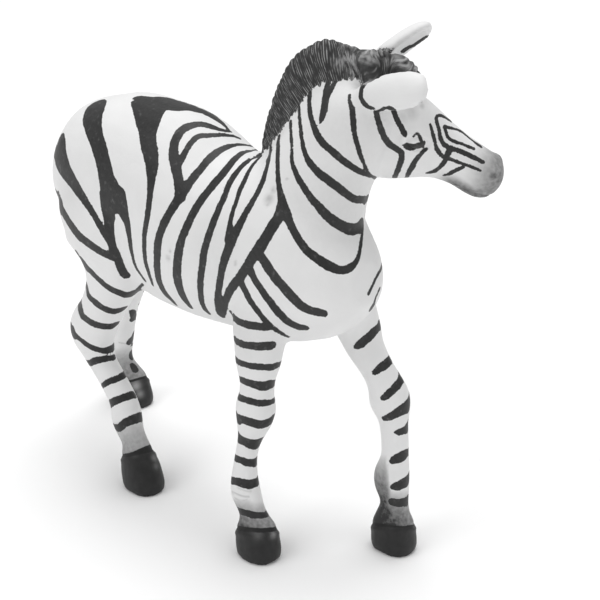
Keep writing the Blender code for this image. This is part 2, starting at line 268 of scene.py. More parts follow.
# Rump and thigh stripes
for marks in (
    [(61.8, 139, 4), (60.3, 148, 10), (61.2, 158, 13.5), (64.8, 168, 13), (70, 177, 11), (77, 188, 8.6),
     (84, 199, 7), (91, 210, 5.6), (98, 222, 5.6), (105, 234, 6), (110, 242, 6)],
    [(96, 106, 16), (94.5, 111, 19), (93.5, 116, 19.5), (93.3, 122, 18.2), (95.3, 135, 15.2), (100, 150, 14.5),
     (103.8, 165, 14), (107, 180, 15.4), (109.8, 189, 18.5), (111.8, 197, 21.5)],
    [(105.5, 196, 11), (107.5, 206, 12.5), (108.6, 213, 12), (109, 220, 10), (110.6, 235, 7.4),
     (112.8, 247, 7.6), (116.7, 256, 7.8), (120.3, 266, 8), (123.3, 272, 8.2), (125.6, 275, 8)],
    [(119, 196, 13), (121.5, 206, 11.5), (123.5, 213, 9), (126, 220, 6.6), (128, 228, 4.9), (129.4, 237, 4),
     (130.7, 247, 3.3), (132.3, 255, 2.6), (135, 265, 2), (139.5, 273, 1.6), (145, 280.5, 1.2)],
    [(58.6, 196, 2.4), (60.6, 204.5, 4), (64.4, 214, 5), (71, 225, 5.8), (79, 235.5, 6.6), (90, 244.5, 6.6),
     (100, 251, 6.2), (111, 256.5, 6.4), (118, 258.5, 5)],
):
    stripe(marks, "trunk")
stripe([(76.6, 253, 2), (82.5, 261.5, 3.6), (90.5, 271, 4), (100, 280.5, 4.2), (110, 288.5, 5), (120, 293, 5.4),
        (127, 294.6, 5.6), (134, 292.5, 4.4), (139, 288, 3), (143, 284, 1.5)])

BEHIND_ALL = -80.0


def behind(across, height):
    """The point of the coat seen straight from behind."""
    return coat.ray_cast(Vector((BEHIND_ALL, across, height)), Vector((1.0, 0.0, 0.0)))[0]


# Three of them run on behind both buttocks, up towards the tail: where they start, half width and rise.
BUTTOCK_STEPS = 12
for x, y, half, rise in ((58.5, 158, 1.25, 3.0), (61.5, 202, 0.6, 2.2), (81.0, 258, 0.5, 1.2)):
    start = touch(x, y)
    for side in (-1, 1):
        tail_edge = float(np.interp(start.z, (55, 65, 75), (4.2, 2.5, 1.0))) + side * 2.7
        first = -side * start.y
        laid = []
        for k in range(BUTTOCK_STEPS + 1):
            gone = k / BUTTOCK_STEPS
            spot = behind(first + (tail_edge - first) * k / BUTTOCK_STEPS, start.z + rise * k / BUTTOCK_STEPS)
            if spot is not None:
                laid.append((spot, half * math.sqrt(1 - 0.96 * gone ** 2)))
        marks_laid.append(laid)


# Saddle and barrel stripes
for marks in (
    [(133.5, 102, 5), (136, 112, 5), (139, 124, 5), (142, 136, 5), (144, 148, 5), (147.5, 160, 6)],
    [(140, 101, 11), (143, 110, 12), (146, 122, 12), (148, 134, 12), (149.6, 146, 13), (151.5, 158, 13.5),
     (151.9, 168, 11.5), (151.2, 178, 8.2), (150.4, 188, 6.2), (149.5, 200, 5), (147.5, 215, 5),
     (145, 230, 4.3), (144.3, 245, 3.8), (145.2, 260, 3.2), (148.5, 272, 2.6), (152.7, 285, 1.5)],
    [(151, 101, 11), (152, 109, 12), (152, 120, 11), (151.6, 130, 9)],
    [(164.5, 106, 8), (160, 112, 8), (157, 120, 7), (154.5, 130, 5.6), (153.4, 140, 5), (155, 150, 6)],
    [(138, 98, 5), (150, 100, 7), (160, 101.5, 9), (168, 102.5, 11.5), (176.5, 104.5, 12.4), (184, 105.2, 11),
     (191.5, 107, 8.4), (203, 111, 5.8), (213, 117, 4.2), (221.5, 122.8, 2.8), (228.5, 129.5, 1.2)],
    [(231, 131.7, 1.2), (221, 129.8, 2.6), (210, 126.2, 4.6), (200, 124.2, 5), (191.5, 125.4, 6.2),
     (183.5, 129, 7.6), (177.5, 136, 8.2), (174.3, 144, 8), (173.6, 153, 9), (174.5, 162, 9.6),
     (176.5, 170, 9.6), (178.5, 180, 9.6), (180, 190, 10.4), (180.5, 197, 10)],
    [(240, 138.5, 1), (232, 135.8, 1.8), (220, 134.8, 3.2), (208, 135.5, 4), (199, 136.3, 4.8), (193, 140.5, 5),
     (187.5, 148, 5.2), (182.5, 157, 5.4), (180, 163, 5)],
    [(261, 148.6, 0.8), (247, 145.2, 1.4), (236, 144.8, 2.6), (226.5, 147.2, 4.6), (219.5, 150.8, 6),
     (209.5, 158.5, 6.8), (201, 168.5, 7.2), (192, 179.5, 7.6), (185, 189.5, 8.8), (178.5, 199, 9)],
    [(178.5, 199, 9), (171, 210.5, 7.6), (164.5, 222.5, 7.6), (160, 234, 7.2), (157.5, 246, 7), (157, 258, 6.4),
     (157.3, 270, 6), (159.5, 282, 5), (164.5, 292, 4), (171, 299.5, 2.6), (176, 304.8, 1.2)],
    [(262, 150, 1), (250, 150.8, 2.4), (241, 154, 4.2), (233.5, 160.5, 5.8), (225.5, 170.5, 6.6),
     (217.5, 180, 6.8), (209, 190, 7), (201, 200.5, 7), (193.5, 212.5, 7.2), (187, 226, 7.2), (181.8, 239, 7.2),
     (179, 251, 7.8), (177.2, 264, 8), (177.3, 277, 7.8), (179.8, 288.5, 6.8), (184, 298, 5),
     (190.5, 307.3, 2.5)],
    [(263, 151.7, 1), (252.5, 157.5, 2.8), (243.3, 165, 4), (235.8, 173.3, 4.6), (229.3, 183.5, 5),
     (224.3, 196.5, 5.2), (218.5, 209.5, 5.6), (213, 223.5, 6), (208, 238, 6.3), (204.5, 250, 6.4),
     (202.8, 262, 6.4), (201, 275, 6), (200.3, 287, 5.6), (201.3, 299, 4.8), (204.3, 308, 3.6),
     (209, 313.5, 1.8)],
    [(261.5, 155.3, 1), (254, 163.5, 2), (249, 171, 2.8), (244.8, 180, 3.8), (240, 190, 3.8), (236.7, 200, 3.4),
     (233.4, 210, 3.5), (230.6, 220, 4.1), (229, 230, 4.6), (227.5, 240, 6)],
    [(270.5, 141, 2), (270.2, 150, 2.2), (268.8, 160, 3), (266, 170, 3.4), (263.2, 180, 4.2), (258.8, 190, 4.4),
     (253.3, 200, 4.8), (247.5, 210, 5.6), (241.5, 221, 6.6), (236.5, 231, 7.4), (232, 241, 8), (228, 250, 8.6),
     (223.8, 262, 7.4), (220.8, 275, 6), (219, 287, 6.2), (218.3, 298, 6.6), (219.5, 308, 8), (221, 315, 7)],
):
    stripe(marks, "trunk")

# Shoulder and chest stripes
for marks in (
    [(281.5, 205, 8.5), (279, 216, 10), (271.5, 228, 10), (264.5, 240, 10.4), (258, 250, 11), (250, 261.5, 9.6),
     (244, 271.5, 9.2), (237.5, 280.5, 8.8), (230.5, 289.5, 8), (226, 300, 6.8), (223, 310, 7.6),
     (221.5, 316, 6)],
    [(258, 252, 8), (264, 261, 8.4), (270, 270.5, 8.6), (278, 281, 8.8), (286, 290, 8.8), (294, 299, 8.8),
     (302, 306, 8.2), (309, 309.8, 7.4), (317, 312, 7.2), (323.5, 313.4, 6.4)],
    [(249.5, 268, 7), (253, 276, 6), (258.5, 285.5, 6), (265, 295, 6.3), (271, 303, 6.5), (278, 312, 6.8),
     (287, 320.5, 6.4), (296, 326, 5.8), (303, 327.4, 5.2), (305.5, 327.4, 5)],
    [(241, 283, 5.6), (245.5, 291.5, 5.4), (250, 300.5, 5.2), (256, 309, 4.8), (263, 318, 4.4), (271, 326, 3.8),
     (280, 332.5, 2.8), (289, 337.3, 1.3)],
):
    stripe(marks, "trunk")
for marks in (
    [(383, 261, 1.2), (380.5, 269.4, 1.8), (376, 278, 1.8), (371.7, 287, 1.7), (368.3, 294, 1.6)],
    [(380, 288, 1), (376, 297, 1.1), (374, 303, 1.6), (372, 307, 2.6), (371, 309.5, 3)],
):
    stripe(marks)

# Neck stripes
for marks in (
    [(278.5, 138, 3), (278, 150, 3.6), (277.6, 163, 3.5), (277.9, 176, 4), (279.5, 189, 5.2), (282, 200, 7.4),
     (286, 212, 8), (290.5, 224, 7.6), (296, 235, 7.4), (303, 246, 7.2), (311.5, 254.5, 8), (320.5, 260.5, 8.8),
     (330, 266.5, 9), (340, 270, 7.4), (349, 268.5, 7), (355.5, 262.5, 4.8), (359.2, 254, 3), (361, 243, 2.2),
     (362.5, 230, 1.6), (363, 222, 1.4)],
    [(290.3, 122, 2.5), (291, 133, 2.8), (291.8, 147, 2.7), (291.8, 160, 3.2), (295.5, 172, 4.6),
     (302, 184.5, 5.6), (310, 196.5, 6.4), (318.5, 206.5, 7.4), (327, 215.5, 8.8), (335.5, 222, 9.8),
     (344, 227, 10.4), (352, 229.4, 11.4), (357.5, 228.3, 9), (361, 222, 3.6)],
    [(298.8, 108, 2), (300, 122, 2.9), (301.6, 137, 3.3), (304.5, 151, 4.4), (310, 163, 5.8),
     (318.5, 172.5, 7.4), (327, 179, 8), (335.5, 185.5, 7.8), (344, 192, 7.4), (352.5, 198, 7.2),
     (361, 199.8, 7), (368, 198.5, 5.8), (373, 194, 2.5)],
    [(309.8, 92, 3.5), (309.2, 103, 3.6), (311, 117, 4.3), (315, 130, 5.4), (321.5, 141.5, 6.4),
     (331, 150.5, 6.4), (340.5, 158.5, 6.4), (350, 165.5, 6), (359, 171, 5.2), (367, 174.5, 4),
     (376, 178.2, 1.5)],
    [(330.5, 76, 3.8), (328.5, 82, 3.8), (326.3, 88, 4.4), (325.9, 95, 6), (325.0, 104, 6.2), (323.4, 113, 6.2),
     (321.8, 118.5, 4.6), (320.4, 122.8, 1.4)],
    [(337.4, 76, 3.2), (335.6, 80.5, 3.4), (332, 87.5, 3.4), (329.5, 93.5, 3.2), (328, 98, 2.4)],
    [(349.6, 95, 2), (349.5, 101, 3.2), (352, 109, 4.8), (353, 120, 5.2), (354, 131, 4.8), (356.6, 142, 4.2),
     (360, 153, 3.8), (364, 164, 2.8), (367, 170.5, 2.6), (370.5, 175.5, 2.2)],
    [(365.5, 83.3, 3), (362, 87.8, 3.2), (361, 92.2, 3.4), (361, 97.8, 3.6), (363.3, 102.2, 3.8),
     (366.7, 106.1, 3.6), (370, 107.8, 3), (373.5, 108.3, 2.4)],
):
    stripe(marks, "neck")

# Face stripes, and the painted edge of the eye
for marks in (
    [(376, 112.5, 5), (378.5, 121, 5.4), (381.5, 131, 5.6), (386, 140, 6), (392, 146, 5.6), (398, 149.5, 5),
     (401.5, 153.5, 5), (401.3, 160, 5.2), (398.5, 168, 4.8), (394.6, 177.5, 4.2)],
    [(376.5, 112, 3), (383, 109, 2.4), (388.5, 107.8, 2.6), (392.8, 110, 4), (396.5, 118.5, 4.4),
     (401, 127, 5.2), (404, 133, 5.4), (404.8, 135, 4)],
    [(426.7, 148.9, 1.5), (422.2, 152.2, 3), (416.7, 158.9, 4.2), (412.2, 166.7, 4.8), (409, 172.2, 4.2),
     (406.8, 177, 3)],
    [(430, 124.4, 1.6), (432.2, 131.1, 2.5), (434.4, 140, 2.9), (436, 146.7, 3.2), (438.9, 152.2, 3.4),
     (443.3, 156.7, 3), (448.9, 158.6, 2.8), (455.6, 161.1, 2.5), (464.4, 164.4, 2.5), (472.2, 167.2, 2.4),
     (480.6, 170.6, 2.3)],
    [(446.7, 158.4, 4), (442.2, 164.4, 3.8), (436.7, 170, 3.2), (431.1, 172.2, 2.4), (426.7, 173.1, 1.2)],
    [(463.3, 167, 2.8), (458.9, 168.9, 3.6), (453.3, 171.7, 3.6), (447.8, 174.4, 2.4), (443.3, 175.3, 1)],
    [(450, 120.6, 1.5), (444.4, 117.2, 2), (439.4, 115.2, 2.4), (436.4, 117.5, 2.6), (437.2, 123.3, 2.6),
     (439.2, 131.1, 2.9), (440.7, 138.6, 3.2), (443.2, 143.6, 3.6), (448, 146.9, 3.8), (453.3, 149, 4),
     (461.1, 151.7, 4), (470, 155.6, 3.8), (477.8, 159.4, 3.5), (483.3, 162.2, 3.3)],
    [(450.5, 148, 5), (448.5, 152, 5.4), (446.5, 156.5, 4.4)],
    [(480, 146.1, 2.2), (473.3, 141.1, 1.3), (467.8, 136.7, 1.1), (462.2, 132.2, 1.3), (456.7, 129.4, 1.8),
     (450, 127.8, 2.2), (444.6, 126.4, 2.4), (445.6, 131.1, 2.6), (447.8, 136.7, 2.6), (450.8, 139.6, 2.6),
     (456.7, 142.2, 2.4), (463.3, 144.4, 2.2), (470, 147.2, 2.2), (473.9, 148.7, 2)],
    [(486, 144.8, 1.3), (480.5, 142, 1.2)],
    [(403, 144.6, 1.4), (408, 146.3, 5.4), (413, 146.7, 6.8), (418, 145.6, 6.4), (422, 143.8, 4.4),
     (424.4, 142.2, 2)],
    [(413.5, 136.8, 1.5), (417, 133.4, 2), (420, 137.5, 3), (422.4, 142.5, 3)],
    [(422.5, 146, 1.6), (424, 149.5, 1.4)],
):
    stripe(marks, "head")
stripe([(402.5, 51.6, 3), (408, 48, 3), (413, 45.6, 2.4), (420, 41.5, 3.4), (425, 38, 3), (431, 34.4, 1.8),
        (436, 31, 1.4)])

# Leg bands
# Short bands of the same paint on the four moulded legs. The painter works from outside, so the bands run out
# on the legs' inner sides. AXES gives each leg's middle from the trunk to the sole.
TURN_STEP = 5
TURN_EASE = 22
STEEPEST = 0.05
AXES = {
    "front right": [(22.0, -8.4, 57.0), (20.8, -9.8, 47.3), (20.8, -10.7, 36.2), (20.3, -11.1, 30.7),
                    (18.5, -11.7, 21.4), (18.4, -12.1, 14.8), (20.1, -12.5, 11.0), (21.9, -12.9, 7.5),
                    (23.3, -13.1, 0.0)],
    "front left": [(29.0, 6.9, 54.5), (33.3, 8.1, 45.2), (38.3, 8.4, 39.0), (40.1, 8.6, 34.5),
                   (41.2, 8.8, 29.7), (41.6, 9.0, 24.1), (41.2, 9.2, 19.3), (40.8, 9.2, 14.7),
                   (41.7, 9.1, 10.4), (41.4, 9.0, 7.0), (42.0, 8.8, 0.0)],
    "hind right": [(-23.5, -8.5, 60.0), (-25.3, -9.3, 46.3), (-29.0, -9.4, 40.1), (-31.8, -9.5, 34.8),
                   (-31.5, -9.6, 29.6), (-27.4, -9.8, 24.0), (-22.4, -9.9, 18.0), (-21.4, -10.2, 15.2),
                   (-18.3, -10.9, 10.6), (-16.8, -11.4, 7.0), (-14.9, -11.5, 0.0)],
    "hind left": [(-27.5, 8.0, 60.0), (-36.5, 10.0, 45.5), (-44.2, 10.8, 35.6), (-46.4, 11.7, 27.4),
                  (-49.6, 12.8, 18.5), (-51.2, 13.5, 12.6), (-49.4, 14.3, 6.2), (-47.8, 14.4, 0.0)],
}


def leg_middle(leg, height):
    """The middle of the leg at this height."""
    rows = AXES[leg]
    heights = [row[2] for row in reversed(rows)]
    x, y = (float(np.interp(height, heights, [row[k] for row in reversed(rows)])) for k in (0, 1))
    return Vector((x, y, height))


def leg_skin(leg, turn, height):
    """The coat of the leg towards this turn, in degrees from ahead, the left being 90."""
    middle = leg_middle(leg, height)
    way = Vector((math.cos(math.radians(turn)), math.sin(math.radians(turn)), 0.0))
    return coat.ray_cast(middle, way)[0]


def run_out(laid, leg, sweep):
    """Carries a band on round the leg from its last mark, tapering to nothing after sweep degrees."""
    if len(laid) < 4:
        return
    turns = []
    for point, half in (laid[-4], laid[-1]):
        away = point - leg_middle(leg, point.z)
        turns.append(math.degrees(math.atan2(away.y, away.x)))
    step = (turns[1] - turns[0] + 180) % 360 - 180
    rise = (laid[-1][0].z - laid[-4][0].z) / max(abs(step), 4.0)
    rise = max(-STEEPEST, min(STEEPEST, rise))
    on = [laid[-1]]
    for k in range(1, int(sweep / TURN_STEP) + 1):
        gone = TURN_STEP * k
        height = laid[-1][0].z + rise * TURN_EASE * (1 - math.exp(-gone / TURN_EASE))
        spot = leg_skin(leg, turns[1] + math.copysign(gone, step), height)
        if spot is None:
            break
        on.append((spot, laid[-1][1] * math.sqrt(max(0.0, 1 - (gone / (sweep + TURN_STEP)) ** 2))))
    marks_laid.append(on)


def band(leg, marks, before=0, after=0):
    """A band of the picture on one leg, and how far it runs out at its first and last mark."""
    laid = stripe(marks)
    if after:
        run_out(laid, leg, after)
    if before:
        run_out(laid[::-1], leg, before)


band("front right", [(231.5, 314.5, 3), (236, 319.5, 5), (242, 323, 6), (250, 325.2, 6.8), (259, 326.4, 7),
                     (266, 327.2, 6.4), (270, 328, 3.6)])
band("front right", [(232.5, 337, 3.5), (236.5, 341, 5), (242, 344, 6), (250, 345.7, 6.6), (260, 346.5, 7.6),
                     (268, 346, 8), (272, 345.2, 7)], before=70)
for marks in (
    [(237, 361, 4.5), (243, 363.8, 5), (252, 366, 5.5), (262, 367.2, 6), (272, 367, 6), (279, 364.5, 4)],
    [(241, 379.5, 5.5), (247, 382, 6), (255, 384.7, 7.2), (263, 386, 9), (269, 385, 8.5), (273, 384, 6)],
    [(240, 397.7, 6), (245, 399.5, 6), (254, 402, 5.6), (262, 403.3, 6.6), (269, 402.5, 5), (273, 400.8, 4)],
    [(237.5, 417.4, 6.6), (243, 419.7, 7.2), (252, 422.5, 7.4), (260, 424.5, 7.8), (267, 423, 6.5),
     (272, 419, 4)],
    [(239, 438, 6.5), (244, 441.3, 7.6), (251, 444, 9), (257, 443.5, 8.6), (261, 441.7, 6.5)],
    [(236.5, 458.5, 6), (241, 460.2, 6.2), (248, 462.8, 7), (254, 462.7, 7.2), (257.3, 461.5, 7)],
    [(232, 480.7, 7), (237, 481.5, 7.2), (243, 483.2, 8), (248.5, 484.6, 8.6), (254, 483.2, 7.6),
     (257.8, 481, 6.5)],
    [(240.5, 511.3, 5.5), (246, 512.8, 5.5), (253, 515, 6.2), (260, 515.5, 5.6), (265.3, 514.8, 5)],
):
    band("front right", marks, before=70, after=35)
for marks in (
    [(355.5, 347.5, 4), (360, 344.5, 7.6), (367, 338.5, 8), (374, 332, 7), (378.6, 326.6, 5.2),
     (380.5, 322, 2.5)],
    [(374, 373, 4), (380, 368.5, 7.6), (386, 364, 8), (390, 359.5, 6.4), (390.6, 356, 4)],
    [(382.5, 398, 5), (388, 394.5, 7), (394, 389, 7), (399.3, 382.5, 7), (401, 378.5, 5)],
    [(383.5, 418.8, 4), (390, 417, 6.6), (398, 412.5, 8.4), (404.5, 407.8, 9), (409.2, 403.5, 8)],
    [(395.5, 432.5, 2.5), (400, 431.8, 5.6), (404.6, 429.5, 6), (407.2, 425.8, 3.5), (408, 422, 1.5)],
    [(391.5, 461.5, 5), (396, 459.3, 8.4), (402, 456.3, 9), (406.6, 453, 6.5)],
    [(393, 487.3, 4.5), (398, 485.8, 8.4), (404, 482.8, 8.4), (408.6, 479, 6)],
    [(391.5, 502, 6), (396, 502.7, 7.4), (402, 502.3, 7.2), (407.6, 499.4, 6)],
):
    band("front left", marks, after=150)
for marks in (
    [(87.2, 288, 2), (88.8, 296, 3.5), (95, 302, 5.2), (103, 308, 5.2), (112, 311, 5.2), (119, 310.5, 4.4),
     (126, 307.5, 1.8)],
    [(80.3, 307, 4.4), (82.2, 315, 4.8), (88, 320.5, 5.4), (96, 324.5, 5.6), (105, 326.5, 5.6), (112, 326, 5),
     (117, 323.4, 2.6)],
    [(71, 327.5, 3.5), (72.6, 331, 5.4), (76, 335.5, 4), (81, 340, 3.6), (88, 345.3, 4.2), (96, 349, 4.6),
     (103, 350.6, 5), (109.5, 349.6, 6.4), (113.4, 346.6, 4), (114.6, 344.6, 2)],
):
    band("hind right", marks, before=70)
for marks in (
    [(89.5, 363.3, 6), (95, 360.8, 6.6), (103, 359.2, 5.8), (111, 358.2, 5)],
    [(102, 386.4, 4), (107, 382.5, 5.2), (115.5, 379.3, 5.6), (121, 376.5, 6.2), (125, 374.3, 6)],
    [(109.3, 404.3, 7), (115, 401, 7), (124, 397.5, 7), (132, 395, 7), (137.5, 394.6, 5.6)],
    [(119.3, 427.8, 7), (125.5, 423, 8), (133, 419.5, 8.8), (140, 417.3, 9), (144.6, 416.6, 9)],
):
    band("hind right", marks, before=70, after=30)
for marks in (
    [(131.5, 311, 5), (133.5, 314.5, 7.4), (133, 318, 5)],
    [(132.3, 338, 3.4), (130.6, 340.5, 4.4)],
    [(131.4, 353, 4), (131, 357, 4.6)],
    [(132.8, 366, 5), (134.8, 369.3, 6.4)],
):
    band("hind left", marks)
# The hind left leg's outer side, which the picture doesn't show: each band's height, half width and lean.
for height, half, lean in (
    (52.0, 0.8, -0.45), (47.0, 0.75, -0.5), (42.6, 0.75, -0.55), (38.4, 0.7, -0.45), (34.4, 0.8, -0.25),
    (29.8, 0.75, -0.2), (25.2, 0.75, -0.3), (20.6, 0.8, -0.3), (16.4, 0.75, -0.2),
):
    around = []
    for turn in range(14, 217, 6):
        middle = leg_middle("hind left", height)
        spot = leg_skin("hind left", turn, height)
        if spot is not None:
            spot = leg_skin("hind left", turn, height + lean * (spot.x - middle.x)) or spot
            taper = math.sqrt(max(0.0, 1 - ((turn - 115) / 103) ** 4))
            around.append((spot, half * taper))
    marks_laid.append(around)

# The tail hangs behind, with short bands, each at its height and from right to left, and a dark switch.
for height, right, left in (
    (75.0, -1.2, 3.2), (70.2, -0.6, 4.0), (65.6, 0.2, 4.8), (61.0, 0.9, 5.6), (56.6, 1.7, 6.4),
):
    around = []
    for k in range(7):
        spot = behind(right + (left - right) * k / 6, height)
        if spot is not None:
            around.append((spot, 0.75 * math.sqrt(1 - abs(k / 3 - 1) ** 3 * 0.9)))
    marks_laid.append(around)
marks_laid.append([(Vector(row[:3]), row[3]) for row in curve(
    [(-48.2, 4.9, 50.5, 1.6), (-47.9, 5.9, 46.5, 2.6), (-48.2, 6.8, 41.0, 3.0), (-48.9, 7.6, 36.5, 2.8),
     (-49.0, 7.8, 34.0, 2.4)], 1.0)])

# Painted shade along fine folds behind the front right pastern and in the hock, each with how dark it is.
creases = [(lay(marks), strength) for marks, strength in (
    ([(232, 491.5, 1), (238, 494.5, 1), (244, 496.5, 1), (249, 496.8, 1)], 0.34),
    ([(235, 498, 1), (241, 500.5, 1), (247, 500, 1)], 0.28),
    ([(238, 487.5, 1), (246, 491, 1), (251, 491.5, 1)], 0.24),
    ([(234, 503.5, 1), (240, 504.8, 1), (245, 504.4, 1)], 0.20),
    ([(119, 342.5, 1), (125, 343.5, 1), (131, 343, 1)], 0.35),
)]

LONGEST_STEP = 3.0


def gap_to(laid_marks, spots, reach):
    """How far each spot lies outside the brush marks, in millimetres; inside them it is less than nothing."""
    gap = np.full(len(spots), reach)
    for laid in laid_marks:
        if len(laid) < 2:
            continue
        path = np.array([tuple(point) for point, half in laid])
        halves = np.array([half for point, half in laid])
        room = reach + halves.max()
        near = np.all((spots > path.min(0) - room) & (spots < path.max(0) + room), axis=1)
        which = np.flatnonzero(near)
        if not len(which):
            continue
        some = spots[which]
        best = np.full(len(which), reach)
        for a, b, wide_a, wide_b in zip(path[:-1], path[1:], halves[:-1], halves[1:]):
            way = b - a
            if way @ way > LONGEST_STEP**2:  # a jump across a fold isn't painted
                continue
            share = np.clip((some - a) @ way / max(way @ way, 1e-9), 0, 1)
            away = np.linalg.norm(some - a - share[:, None] * way, axis=1)
            best = np.minimum(best, away - (wide_a + (wide_b - wide_a) * share))
        gap[which] = np.minimum(gap[which], best)
    return gap


# Mane
# Moulded hair that stands from the withers over the poll to the forelock, and is painted dark, with the ridges
# of the hair dry-brushed lighter. Strands and locks are counted along it, and up the hair from root to tip.
HAIR_PITCH = 0.42
HEAD_HAIR_PITCH = 0.80
LOCK_PITCH = 1.45
HEAD_LOCK_PITCH = LOCK_PITCH * 1.15
LOCK_DEPTH = 0.50
WISP_PITCH = 0.62
HOLLOW_DEPTH = 0.34
FOREHEAD_RUN = 30.0
FINE_HALF = 0.36
HAIR_BATCH = 2000
mane_marks = []
for part, marks in (
    ("neck", [(265, 146, 6), (268, 138, 11), (273, 129, 14), (279, 119, 17), (285, 105.5, 22), (291.5, 92, 27),
              (298, 81, 31), (305, 73, 35), (314, 66.5, 37), (326.5, 60, 38)]),
    ("head", [(326.5, 60, 38), (340, 59.5, 38), (355, 61, 36), (372, 62, 31), (386, 61.5, 24.5),
              (399, 60.5, 18.5), (409, 62, 13), (416, 67, 4)]),
):
    laid = lay(marks)
    mane_marks.append(laid)
    mane_marks.append([(other_side(point, part), half) for point, half in laid])


def head_spot(a, b, c):
    """The point at these places in the head."""
    return POLL + HEAD_A * a + HEAD_B * b + HEAD_C * c


hairs = [  # root, tip
    ((14.0, 0.0, 83.0), (12.8, 0.0, 85.6)),
    ((16.5, 0.0, 87.0), (13.4, 0.0, 90.1)),
    ((19.3, 0.1, 90.8), (15.0, 0.1, 94.8)),
    ((21.8, 0.3, 94.6), (16.7, 0.3, 99.4)),
    ((24.6, 0.9, 98.0), (18.9, 1.1, 104.2)),
    ((27.2, 1.8, 100.4), (22.0, 2.2, 107.4)),
    ((29.8, 3.2, 101.8), (25.9, 4.0, 109.5)),
    ((32.0, 4.8, 102.3), (29.5, 5.5, 109.0)),
    (head_spot(1.5, 0, 0.4), head_spot(-1.5, 0, 7.2)),
    (head_spot(4.5, 0, 0.8), head_spot(2.8, 0, 8.8)),
    (head_spot(7.2, 0, 1.2), head_spot(6.6, 0, 8.6)),
    (head_spot(9.6, 0, 1.5), head_spot(9.8, 0, 7.0)),
    (head_spot(11.8, 0, 1.4), head_spot(12.2, 0, 3.4)),
    (head_spot(13.4, 0, 1.0), head_spot(14.4, 0, 2.0)),
]
hair_rows = np.array(curve([(*root, *tip) for root, tip in hairs], 0.25))
hair_roots, hair_ways = hair_rows[:, :3], hair_rows[:, 3:] - hair_rows[:, :3]
hair_middles = hair_roots + 0.6 * hair_ways
hair_runs = np.gradient(hair_middles, axis=0)
hair_lengths = np.concatenate([[0.0], np.cumsum(np.linalg.norm(np.diff(hair_middles, axis=0), axis=1))])
hair_runs /= np.linalg.norm(hair_runs, axis=1)[:, None]


def hair_places(spots):
    """Each spot's place along the mane in millimetres, its share up the hair, and how far off the middle."""
    along, up, off = np.zeros(len(spots)), np.zeros(len(spots)), np.zeros(len(spots))
    for start in range(0, len(spots), HAIR_BATCH):
        batch = slice(start, start + HAIR_BATCH)
        some = spots[batch, None, :]
        rise = np.clip(((some - hair_roots) * hair_ways).sum(2) / (hair_ways**2).sum(1), -1.0, 1.6)
        away = some - hair_roots - rise[:, :, None] * hair_ways
        far = np.linalg.norm(away, axis=2)
        which = far.argmin(1)
        rows = np.arange(len(which))
        along[batch] = hair_lengths[which] + (away[rows, which] * hair_runs[which]).sum(1)
        up[batch] = rise[rows, which]
        off[batch] = far[rows, which]
    return along, up, off


def smooth_share(low, high, value):
    """The value's smooth share of the way from low to high."""
    share = np.clip((value - low) / (high - low), 0, 1)
    return share * share * (3 - 2 * share)


def in_mane(spots):
    """The mane's places and how far each spot lies outside it, in millimetres."""
    edge = gap_to(mane_marks, spots, 5.0)
    along, up, off = np.zeros(len(spots)), np.zeros(len(spots)), np.full(len(spots), 9.0)
    near = np.flatnonzero(edge < 4.5)
    along[near], up[near], off[near] = hair_places(spots[near])
    return along, up, np.where((up > 0.3) & (off < 3.4), -1.0, edge)


mane_gap = in_mane(points)[2]
a, b, c = head_places(points)
near_face = (a > 6) & (a < 35.5) & (np.abs(b) < 9) & (c > -15) & (c < 6)
thin_marks = [pair for laid in marks_laid + [laid for laid, strength in creases]
              for pair in zip(laid, laid[1:]) if max(pair[0][1], pair[1][1]) < FINE_HALF]
thin = gap_to(thin_marks, points, 1.0)
finer(zebra, (mane_gap < 0.6) | near_face | (thin < 0.35))
points, normals = mesh_points(zebra), mesh_normals(zebra)
along, up, mane_gap = in_mane(points)
head_from = float(hair_lengths[np.abs(hair_rows[:, :3] - np.array(hairs[7][0])).sum(1).argmin()])

# The strands sway a little on the neck, and curl between the ears.
sway = (0.55 * np.sin(2.6 * up + 0.31 * along) + 0.22 * np.sin(6.1 * up + 0.9 * along)
        + 0.30 * np.sin(0.8 * along))
curl = 0.75 * np.sin(4.4 * up + 0.9 * along) + 0.35 * np.sin(9.0 * up - 0.7 * along)
head_sway = sway + curl * smooth_share(head_from, head_from + 4, along)
along_swayed = along + np.where(along > head_from, head_sway, 0.45 * sway)


def count_along(neck_pitch, head_pitch):
    """How many strands or locks lie before each spot, at one pitch on the neck and another on the head."""
    return np.interp(along_swayed, (0.0, head_from, head_from + FOREHEAD_RUN),
                     (0.0, head_from / neck_pitch, head_from / neck_pitch + FOREHEAD_RUN / head_pitch))


strand = count_along(HAIR_PITCH, HEAD_HAIR_PITCH)
lock = count_along(LOCK_PITCH, HEAD_LOCK_PITCH)
number = np.floor(lock)
lot = np.modf(np.abs(np.sin(number * 12.9898 + 4.1) * 43758.5453))[0]
across = 2 * (lock - number) - 1
ridge = np.sqrt(np.clip(1 - across**2, 0, 1)) * (0.6 + 0.4 * lot)
# Each lock, and each wisp in it, ends in a point at its root.
wisp = along_swayed / WISP_PITCH + 0.8 * np.sin(1.7 * along_swayed)
wisp_lot = np.modf(np.abs(np.sin(np.floor(wisp) * 78.233 + 1.7) * 12543.21))[0]
wisp_edge = np.abs(2 * (wisp - np.floor(wisp)) - 1) - 0.5
teeth = 0.45 * (np.abs(across) - 0.5) + 0.35 * (lot - 0.5) + wisp_lot * 0.9 * wisp_edge
mane_gap = mane_gap + np.where((mane_gap > -0.9) & (mane_gap < 2.0), teeth, 0.0)
deep = (smooth_share(0.4, -0.6, mane_gap) * LOCK_DEPTH * (ridge - 1)
        * (0.65 + 0.45 * smooth_share(0.2, 0.9, up)))
